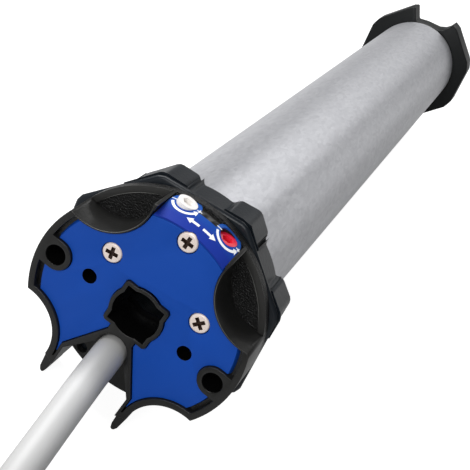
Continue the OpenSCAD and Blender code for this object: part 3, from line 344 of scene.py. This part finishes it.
pan_head.data.materials.clear()
pan_head.data.materials.append(zinc)
pan_head.data.materials.append(recess_shade)
for face in pan_head.data.polygons:
    x, y, z = face.center / MM
    face.material_index = 1 if abs(x) + abs(y) < recess_reach and recess_floor < z < recess_rim else 0
bpy.ops.object.select_all(action="DESELECT")
bpy.ops.mesh.primitive_cylinder_add(vertices=48, radius=shank_r * MM, depth=shank_len * MM,
                                    location=(0, 0, (shank_top - shank_len / 2) * MM))
shank = bpy.context.object
shank.data.materials.append(zinc)
select_only(pan_head)
shank.select_set(True)
bpy.ops.object.join()
bpy.ops.object.shade_smooth_by_angle(angle=math.radians(35))
for number, (x, z) in enumerate(screw_places):
    screw = bpy.data.objects.new("screw_%d" % number, pan_head.data.copy())
    scene.collection.objects.link(screw)
    select_only(screw)
    screw.rotation_euler = (math.radians(90), math.radians(left_turned + turned_on * number), 0)
    screw.location = (x * MM, screw_head_h / 2 * MM, z * MM)
    bpy.ops.object.transform_apply(location=True, rotation=True, scale=True)
    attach(screw, "motor_body")
    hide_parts("face_screws")
bpy.data.objects.remove(pan_head)

# Adjusters: a white and a red button of gloss nylon in the bevel above the face,
# each with a socket for the setting key. Each turns a steel rod in the head through
# bevel teeth, and the rod shifts the end position in one direction.
white_gloss = finish("white_gloss", (0.88, 0.85, 0.82), 0.3, bump=0.004, drift=0.03)
red_gloss = finish("red_gloss", (0.70, 0.012, 0.035), 0.3, bump=0.004, drift=0.05)
steel = finish("steel", (0.55, 0.56, 0.58), 0.3, metallic=1, grain=1200, bump=0.01)
rounded_moulding("adjuster_up", "adjuster_up", white_gloss, rounding=0.12)
rounded_moulding("adjuster_down", "adjuster_down", red_gloss, rounding=0.12)
dress(steel, "adjuster_rod_up", "adjuster_rod_down")

# Label: a printed strip stuck on the bevel, which runs from violet at the face to
# blue. White ink gives each adjuster a turning arrow with a bar and a cross, and
# two straight arrows between them.
label_front_r, label_rear_r, label_bevel = 26.4, 28.6, 6            # the bevel's radii and its length
violet, violet_to = (0.010, 0.034, 0.31), 2.5
label_blue, blue_from = (0.009, 0.080, 0.37), 7
ink_lift, ink_thick = 0.04, 0.05

label_ink = finish("label_ink", violet, 0.5, bump=0.004, drift=0.05, shine=0.12)
tree = label_ink.node_tree
place = tree.nodes.new("ShaderNodeTexCoord")
across = tree.nodes.new("ShaderNodeSeparateXYZ")
reach = tree.nodes.new("ShaderNodeMapRange")
ramp = tree.nodes.new("ShaderNodeValToRGB")
reach.inputs["From Min"].default_value = violet_to * MM
reach.inputs["From Max"].default_value = blue_from * MM
ramp.color_ramp.elements[0].color = (*violet, 1)
ramp.color_ramp.elements[1].color = (*label_blue, 1)
tree.links.new(place.outputs["Object"], across.inputs["Vector"])
tree.links.new(across.outputs["Y"], reach.inputs["Value"])
tree.links.new(reach.outputs["Result"], ramp.inputs["Fac"])
tree.links.new(ramp.outputs["Color"], tree.nodes["Principled BSDF"].inputs["Base Color"])
dress(label_ink, "label_strip")


def bar(x0, y0, x1, y1):
    """The outline of a printed bar."""
    return [(x0, y0), (x1, y0), (x1, y1), (x0, y1)]


def around(middle, *spots):
    """An outline from radii and angles round the middle of an adjuster."""
    return [(middle[0] + r * math.cos(t), middle[1] + r * math.sin(t)) for r, t in spots]


bow_from, bow_sweep, bow_steps = 205, 118, 18       # the turning arrow's shaft, in degrees
bow_inner, bow_outer = 3.25, 3.85
bow_neck, bow_tip = 322, 343                        # its head
adjuster_y = 7.3
arrow_head_len, shaft_pieces = 1.5, 4               # the straight arrows bend with the label

signs = []                                          # closed outlines of (x, y) pairs
for x in (-6.0, 6.4):
    middle = (x, adjuster_y)
    bow = [math.radians(bow_from + bow_sweep * i / bow_steps) for i in range(bow_steps + 1)]
    for a, b in zip(bow, bow[1:]):
        signs.append(around(middle, (bow_inner, a), (bow_outer, a), (bow_outer, b), (bow_inner, b)))
    neck, tip = math.radians(bow_neck), math.radians(bow_tip)
    signs.append(around(middle, (2.85, neck), (4.3, neck), (3.55, tip)))
    signs.append(bar(x - 3.9, 6.75, x - 2.5, 7.05))             # the bar at the arrow's left
    signs.append(bar(x + 2.6, 6.55, x + 4.0, 6.85))             # the cross at its right
    signs.append(bar(x + 3.15, 6.0, x + 3.45, 7.4))
for start, end in ((-0.35, -3.9), (0.75, 4.6)):
    neck = end - math.copysign(arrow_head_len, end - start)
    step = (neck - start) / shaft_pieces
    for i in range(shaft_pieces):
        signs.append(bar(start + step * i, 2.7, start + step * (i + 1), 3.35))
    signs.append([(neck, 2.15), (end, 3.02), (neck, 3.9)])
ink_places, ink_faces = [], []
for outline in signs:
    area = sum(a[0] * b[1] - b[0] * a[1] for a, b in zip(outline, outline[1:] + outline[:1]))
    if area < 0:
        outline = outline[::-1]
    ink_faces.append(tuple(range(len(ink_places), len(ink_places) + len(outline))))
    for x, y in outline:
        r = label_front_r + (label_rear_r - label_front_r) * min(y, label_bevel) / label_bevel + ink_lift
        ink_places.append((x * MM, y * MM, math.sqrt(r * r - x * x) * MM))
ink = bpy.data.meshes.new("label_arrows")
ink.from_pydata(ink_places, [], ink_faces)
arrows = bpy.data.objects.new("label_arrows", ink)
scene.collection.objects.link(arrows)
arrows.data.materials.append(finish("printed_white", (0.92, 0.94, 0.96), 0.5, bump=0.002, drift=0.02))
select_only(arrows)
coat = arrows.modifiers.new("coat", "SOLIDIFY")
coat.thickness = ink_thick * MM
coat.offset = 0
bpy.ops.object.modifier_apply(modifier="coat")
bpy.ops.object.mode_set(mode="EDIT")
bpy.ops.mesh.select_all(action="SELECT")
bpy.ops.mesh.normals_make_consistent(inside=False)
bpy.ops.object.mode_set(mode="OBJECT")
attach(arrows, "motor_body")

# Crown: the idler that carries the blind's tube at this end, one slate nylon
# moulding that turns on the hub's sleeve. A clip of spring steel keeps it there.
# The teeth inside it stay sharp.
crown_teeth_r = 24.5
slate = finish("slate_moulding", (0.006, 0.009, 0.013), 0.33, grain=1200, bump=0.04, shine=0.3)
spring = finish("spring_steel", (0.32, 0.32, 0.34), 0.35, metallic=1)
rounded_moulding("crown", "crown", slate, rounding=0.9, bore=crown_teeth_r, clamp=False)
dress(spring, "crown_clip")

# Limit unit: a black nylon frame behind the hub with a steel pinion and worm, which
# the crown's teeth drive. The worm turns two nylon cam wheels, and their cams press
# two snap-action switches.
gear = finish("gear_steel", (0.38, 0.38, 0.39), 0.38, metallic=0.9, grain=1800, bump=0.02)
nylon = finish("nylon", (0.72, 0.70, 0.62), 0.45, grain=1000, bump=0.01)
dress(black, "limit_frame")
dress(gear, "limit_pinion")
dress(nylon, "cam_wheel_up", "cam_wheel_down")
dress(finish("switch_black", (0.02, 0.02, 0.02), 0.4), "limit_switches")

# Wiring: the black plug that the mains cable ends in, seated in the hub, and four
# leads with blue insulation from it to the switches and the motor.
dress(black, "cable_plug")
dress(finish("lead_insulation", (0.05, 0.09, 0.30), 0.4, bump=0.004, drift=0.03), "inner_leads")

# Capacitor: a white moulded can for the motor's second winding, which lies on the
# motor's axis in a nylon cradle.
dress(finish("capacitor_white", (0.82, 0.82, 0.80), 0.35, drift=0.03), "capacitor")
dress(nylon, "capacitor_cradle")

# Motor: stator and rotor are stacks of thin steel sheets, and copper wire fills the
# stator's slots. Two shields of cast aluminium close it, each with a ball bearing
# for the rotor's steel shaft.
laminated = finish("laminations", (0.36, 0.36, 0.38), 0.4, metallic=0.9)
tree = laminated.node_tree
place = tree.nodes.new("ShaderNodeTexCoord")
sheets = tree.nodes.new("ShaderNodeTexWave")
sheets.bands_direction = "Y"
sheets.inputs["Scale"].default_value = 320
relief = tree.nodes.new("ShaderNodeBump")
relief.inputs["Distance"].default_value = 0.1 * MM
tree.links.new(place.outputs["Object"], sheets.inputs["Vector"])
tree.links.new(sheets.outputs["Fac"], relief.inputs["Height"])
tree.links.new(relief.outputs["Normal"], tree.nodes["Principled BSDF"].inputs["Normal"])

casting = finish("cast_aluminium", (0.62, 0.63, 0.65), 0.42, metallic=0.9, grain=1400, bump=0.05)
copper = finish("winding_copper", (0.62, 0.24, 0.10), 0.3, metallic=0.9, grain=1600, bump=0.1)
dress(laminated, "stator_core", "rotor_core")
dress(copper, "end_windings")
dress(casting, "front_shield", "rear_shield")
dress(steel, "front_bearing", "rear_bearing", "rotor_shaft")

# Brake: a spring presses the steel plate on a lined disc on the rotor's shaft when
# the motor is off. It works in a cast housing between the motor and the gearbox.
dress(spring, "brake_spring")
dress(steel, "brake_plate")
dress(finish("brake_lining", (0.035, 0.033, 0.03), 0.8, grain=2200, bump=0.06, drift=0.3), "brake_disc")
dress(casting, "brake_housing")

# Gearbox: three planetary stages in one ring, of sintered and oiled steel. The
# motor's pinion is the first sun, and each carrier has the next one on its back.
dress(gear, "motor_pinion", "ring_gear", "carrier_1", "carrier_2", "output_carrier",
      "planet_1a", "planet_1b", "planet_1c", "planet_2a", "planet_2b", "planet_2c",
      "planet_3a", "planet_3b", "planet_3c")

# Output: the steel shaft leaves the tube through a turned brass bush, in the cast
# piece that closes the tube's end.
dress(steel, "output_shaft")
dress(finish("brass", (0.72, 0.52, 0.22), 0.3, metallic=1, grain=900, bump=0.01), "output_bush")
dress(casting, "tube_end")

# Drive wheel: an octagonal black nylon moulding with a notch in two of its sides,
# which turns the blind's tube. It is pushed on the output shaft, where a spring
# clip holds it. The shaft's bore in it stays sharp.
wheel_bore_r = 15
black_wheel = finish("black_wheel", (0.003, 0.004, 0.0045), 0.4, grain=1300, bump=0.03, shine=0.25)
rounded_moulding("drive_wheel", "output", black_wheel, rounding=0.6, bore=wheel_bore_r,
                 clamp=False)
dress(spring, "wheel_clip")

# Motor tube: galvanised steel, pushed over the hub and the tube end. Its zinc shows
# pale crystals a millimetre wide, drawn out along the tube, under a fine speckle.
crystal_scale, crystal_stretch = 1000, 0.4
speckle_scale, speckle_share = 450, 0.66
dark_zinc, pale_zinc = (0.505, 0.51, 0.54), (0.65, 0.655, 0.685)

zinc_coat = finish("galvanised", (0.56, 0.57, 0.59), 0.36, metallic=0.6, grain=1600, bump=0.011)
tree = zinc_coat.node_tree
place = tree.nodes.new("ShaderNodeTexCoord")
drawn = tree.nodes.new("ShaderNodeMapping")
drawn.inputs["Scale"].default_value = (1, crystal_stretch, 1)
crystals = tree.nodes.new("ShaderNodeTexVoronoi")
crystals.inputs["Scale"].default_value = crystal_scale
speckle = tree.nodes.new("ShaderNodeTexNoise")
speckle.inputs["Scale"].default_value = speckle_scale
speckle.inputs["Detail"].default_value = 5
speckle.inputs["Roughness"].default_value = 0.7
both = tree.nodes.new("ShaderNodeMix")
both.inputs["Factor"].default_value = speckle_share
tone = tree.nodes.new("ShaderNodeValToRGB")
tone.color_ramp.elements[0].position = 0.25
tone.color_ramp.elements[0].color = (*dark_zinc, 1)
tone.color_ramp.elements[1].position = 0.75
tone.color_ramp.elements[1].color = (*pale_zinc, 1)
tree.links.new(place.outputs["Object"], drawn.inputs["Vector"])
tree.links.new(drawn.outputs["Vector"], crystals.inputs["Vector"])
tree.links.new(drawn.outputs["Vector"], speckle.inputs["Vector"])
tree.links.new(crystals.outputs["Color"], both.inputs["A"])
tree.links.new(speckle.outputs["Fac"], both.inputs["B"])
tree.links.new(both.outputs["Result"], tone.inputs["Fac"])
tree.links.new(tone.outputs["Color"], tree.nodes["Principled BSDF"].inputs["Base Color"])
dress(zinc_coat, "motor_tube")

# Mains cable: round white PVC sheath, 8.2 mm, painted greyer under the slot's arch
# as shade under the head. It comes straight out of the arch, lies down on the floor
# and is folded into a hank in line with the motor.
cable_r = 4.1
cord_z = -27.6                          # of the cable's middle, where it lies on the floor
run = ((-0.2, 10, -13.2), (-0.2, 5, -13.2), (0, 1, -13.3), (0.3, -3, -13.9), (0.8, -9, -15.8),
       (1.5, -16, -18.3), (2.5, -25, -21.4), (3.4, -33, -24.2), (4.2, -40, -26.3), (4.8, -46, -27.3))
lie_x, lie_y = 5, -52                   # where it has come down to the floor
lead_steps = 24
hank_x, hank_y = -6, -114               # middle of the hank's near folds
hank_run = 94                           # length of its straight sides
hank_r = 33.5                           # of the outer turn's folds
hank_pitch = 9                          # from turn to turn, and from layer to layer
hank_turns = 4.69
hank_places = ((0, 0), (1, 0), (1, 1), (0, 1), (0, 2), (1, 2))      # each turn's: inwards, up
shift_first, shift_every, shift_len = 0.62, 0.87, 0.2               # in turns
hank_steps = 96                         # spots in a turn
tie_lift, tie_reach = 0.9, 30           # the tie lifts the turns that lie on it
sheath_white, white_to = (0.58, 0.58, 0.575), -17
# the grey is painted shade under the slot's arch
sheath_grey, grey_from = (0.41, 0.41, 0.405), -8


def ease(t):
    """0 to 1, slow at both ends."""
    t = max(0, min(1, t))
    return t * t * (3 - 2 * t)


route = [Vector(spot) for spot in run]
for i in range(lead_steps):
    t = i / lead_steps
    swing = (1 - math.cos(math.pi * t)) / 2
    route.append(Vector((lie_x + (hank_x + hank_r - lie_x) * swing, lie_y + (hank_y - lie_y) * t, cord_z)))
# a turn's share in one straight side, and in one fold
hank_side = hank_run / (2 * hank_run + 2 * math.pi * (hank_r - hank_pitch / 2))
hank_fold = 0.5 - hank_side
for u in [i / hank_steps for i in range(int(hank_turns * hank_steps) + 1)]:
    inward, up = hank_places[0]
    for k, (place_before, place_after) in enumerate(zip(hank_places, hank_places[1:])):
        share = ease((u - shift_first - shift_every * k) / shift_len + 0.5)
        inward += share * (place_after[0] - place_before[0])
        up += share * (place_after[1] - place_before[1])
    r = hank_r - hank_pitch * inward
    v = u % 1
    if v < hank_side:
        x, y = r, -hank_run * v / hank_side
    elif v < 0.5:
        turn = math.pi * (v - hank_side) / hank_fold
        x, y = r * math.cos(turn), -hank_run - r * math.sin(turn)
    elif v < 0.5 + hank_side:
        x, y = -r, -hank_run * (1 - (v - 0.5) / hank_side)
    else:
        turn = math.pi * (v - 0.5 - hank_side) / hank_fold
        x, y = -r * math.cos(turn), r * math.sin(turn)
    lift = tie_lift * ease(1 - abs(y + hank_run / 2) / tie_reach)
    route.append(Vector((hank_x + x, hank_y + y, cord_z + hank_pitch * up + lift)))

sheath = finish("white_sheath", (0.57, 0.57, 0.565), 0.42, grain=700, bump=0.01, drift=0.03, patch=25)
tree = sheath.node_tree
place = tree.nodes.new("ShaderNodeTexCoord")
across = tree.nodes.new("ShaderNodeSeparateXYZ")
reach = tree.nodes.new("ShaderNodeMapRange")
# painted shade: the sheath greys towards the arch, under the head
arch_shade = tree.nodes.new("ShaderNodeMix")
arch_shade.data_type = "RGBA"
arch_shade.inputs["A"].default_value = (*sheath_white, 1)
arch_shade.inputs["B"].default_value = (*sheath_grey, 1)
reach.interpolation_type = "SMOOTHSTEP"
reach.inputs["From Min"].default_value = white_to * MM
reach.inputs["From Max"].default_value = grey_from * MM
tree.links.new(place.outputs["Object"], across.inputs["Vector"])
tree.links.new(across.outputs["Y"], reach.inputs["Value"])
tree.links.new(reach.outputs["Result"], arch_shade.inputs["Factor"])
tree.links.new(arch_shade.outputs["Result"], tree.nodes["Principled BSDF"].inputs["Base Color"])

dress(sheath, "cable_run", "cable_hank")
cable = tube_along("cable", route, cable_r, roundness=6, crease=40, material=sheath)
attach(cable, "motor_body")
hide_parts("cable_run", "cable_hank")

# Cable's end and tie: four insulated cores stand out of the sheath, each with a
# stripped copper tip, as the cable is sold. A black elastic strap round the hank's
# waist holds its turns together.
core_len, core_spacing, core_splay, core_sag = 24, 1.6, 0.4, 0.001
core_r, copper_r = 1.1, 0.75
stripped_from = 9                       # the spot at which the insulation ends

dress(sheath, "cable_cores")
along = (route[-1] - route[-2]).normalized()
beside = Vector((along.y, -along.x, 0))
for name, colour, sideways, upwards in (
        ("brown", (0.11, 0.035, 0.012), -1, -1), ("blue", (0.02, 0.12, 0.5), 1, -1),
        ("black", (0.015, 0.015, 0.015), -1, 1), ("green", (0.05, 0.3, 0.05), 1, 1)):
    spread = sideways * beside + Vector((0, 0, upwards))
    path = [route[-1] + d * along + core_spacing * (1 + core_splay * d / core_len) * spread
            - Vector((0, 0, core_sag * d * d)) for d in range(0, core_len + 1, 2)]
    insulation = finish("core_" + name, colour, 0.4, bump=0.004, drift=0.03)
    for part, slot_name, spots, radius, material in (
            ("sleeve", "wire_insulation", path[:stripped_from + 1], core_r, insulation),
            ("copper", "winding_copper", path[stripped_from:], copper_r, copper)):
        core = tube_along("core_%s_%s" % (name, part), spots, radius,
                          roundness=4, crease=40, material=material)
        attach(core, "motor_body")
        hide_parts("cable_cores")
dress(finish("strap_black", (0.02, 0.02, 0.021), 0.7, grain=3500, bump=0.08), "hank_tie")

# Floor: a white sheet that runs to the horizon, under the fins and the cable. The
# camera sees it white with a very faint shadow, and reflections see it dimmed.
floor_z = -31.7
floor_width = 12                        # in metres
floor_grey = (0.4, 0.4, 0.4)
floor_seen, floor_mirrored = 0.9, 0.15  # its own light, for the camera and for reflections

bpy.ops.object.select_all(action="DESELECT")
bpy.ops.mesh.primitive_plane_add(size=floor_width, location=(0, 0, floor_z * MM))
floor = bpy.context.object
floor.name = "floor"
bpy.ops.object.transform_apply(location=True, rotation=True, scale=True)
sheet = bpy.data.materials.new("white_floor")
sheet.use_nodes = True
tree = sheet.node_tree
tree.nodes.clear()
out = tree.nodes.new("ShaderNodeOutputMaterial")
total = tree.nodes.new("ShaderNodeAddShader")
diffuse = tree.nodes.new("ShaderNodeBsdfDiffuse")
glow = tree.nodes.new("ShaderNodeEmission")
rays = tree.nodes.new("ShaderNodeLightPath")
seen = tree.nodes.new("ShaderNodeMath")
mirrored = tree.nodes.new("ShaderNodeMath")
share = tree.nodes.new("ShaderNodeMath")
seen.operation = "MAXIMUM"
mirrored.operation = "MULTIPLY"
mirrored.inputs[1].default_value = floor_mirrored
share.operation = "MULTIPLY_ADD"
share.inputs[1].default_value = floor_seen
diffuse.inputs["Color"].default_value = (*floor_grey, 1)
tree.links.new(rays.outputs["Is Camera Ray"], seen.inputs[0])
tree.links.new(rays.outputs["Is Transmission Ray"], seen.inputs[1])
tree.links.new(rays.outputs["Is Glossy Ray"], mirrored.inputs[0])
tree.links.new(seen.outputs[0], share.inputs[0])
tree.links.new(mirrored.outputs[0], share.inputs[2])
tree.links.new(share.outputs[0], glow.inputs["Strength"])
tree.links.new(diffuse.outputs[0], total.inputs[0])
tree.links.new(glow.outputs[0], total.inputs[1])
tree.links.new(total.outputs[0], out.inputs["Surface"])
floor.data.materials.append(sheet)

# World: white where the camera sees it and dimmed in reflections, as the floor is.
# On the object it is a weak, even fill from all sides.
world_base, world_fill, world_mirrored = 0.104, 0.176, 0.1

world = bpy.data.worlds.new("studio")
scene.world = world
world.use_nodes = True
tree = world.node_tree
tree.nodes.clear()
out = tree.nodes.new("ShaderNodeOutputWorld")
sky = tree.nodes.new("ShaderNodeBackground")
rays = tree.nodes.new("ShaderNodeLightPath")
seen = tree.nodes.new("ShaderNodeMath")
mirrored = tree.nodes.new("ShaderNodeMath")
fill = tree.nodes.new("ShaderNodeMath")
level = tree.nodes.new("ShaderNodeMath")
seen.operation = level.operation = "MAXIMUM"
mirrored.operation = fill.operation = "MULTIPLY_ADD"
mirrored.inputs[1].default_value = world_mirrored
mirrored.inputs[2].default_value = world_base
fill.inputs[1].default_value = world_fill
sky.inputs["Color"].default_value = (1, 1, 1, 1)
tree.links.new(rays.outputs["Is Camera Ray"], seen.inputs[0])
tree.links.new(rays.outputs["Is Transmission Ray"], seen.inputs[1])
tree.links.new(rays.outputs["Is Glossy Ray"], mirrored.inputs[0])
tree.links.new(rays.outputs["Is Diffuse Ray"], fill.inputs[0])
tree.links.new(mirrored.outputs[0], fill.inputs[2])
tree.links.new(seen.outputs[0], level.inputs[0])
tree.links.new(fill.outputs[0], level.inputs[1])
tree.links.new(level.outputs[0], sky.inputs["Strength"])
tree.links.new(sky.outputs[0], out.inputs["Surface"])

# Lamps: wide soft boxes, in metres and watts. The key stands at the upper left and
# the second over the camera. Two weak ones behind light the tube's top and the far
# side.
for name, spot, target, size, watts in (
        ("key", (-0.75, 0.15, 0.75), (0, 0.15, 0), (0.6, 0.8), 11),
        ("front", (-0.20, -1.1, 0.60), (0, 0.0, 0), (0.8, 0.6), 9.5),
        ("back", (-0.12, 1.15, 0.70), (0, 0.15, 0), (0.8, 0.5), 1.8),
        ("side", (0.60, 1.20, 0.30), (0, 0.2, 0), (0.7, 0.5), 0.7)):
    light = bpy.data.lights.new(name, "AREA")
    light.shape = "RECTANGLE"
    light.size, light.size_y = size
    light.energy = watts
    holder = bpy.data.objects.new(name, light)
    scene.collection.objects.link(holder)
    holder.location = spot
    holder.rotation_mode = "QUATERNION"
    holder.rotation_quaternion = (Vector(target) - Vector(spot)).to_track_quat("-Z", "Y")

scene.view_settings.view_transform = "Standard"
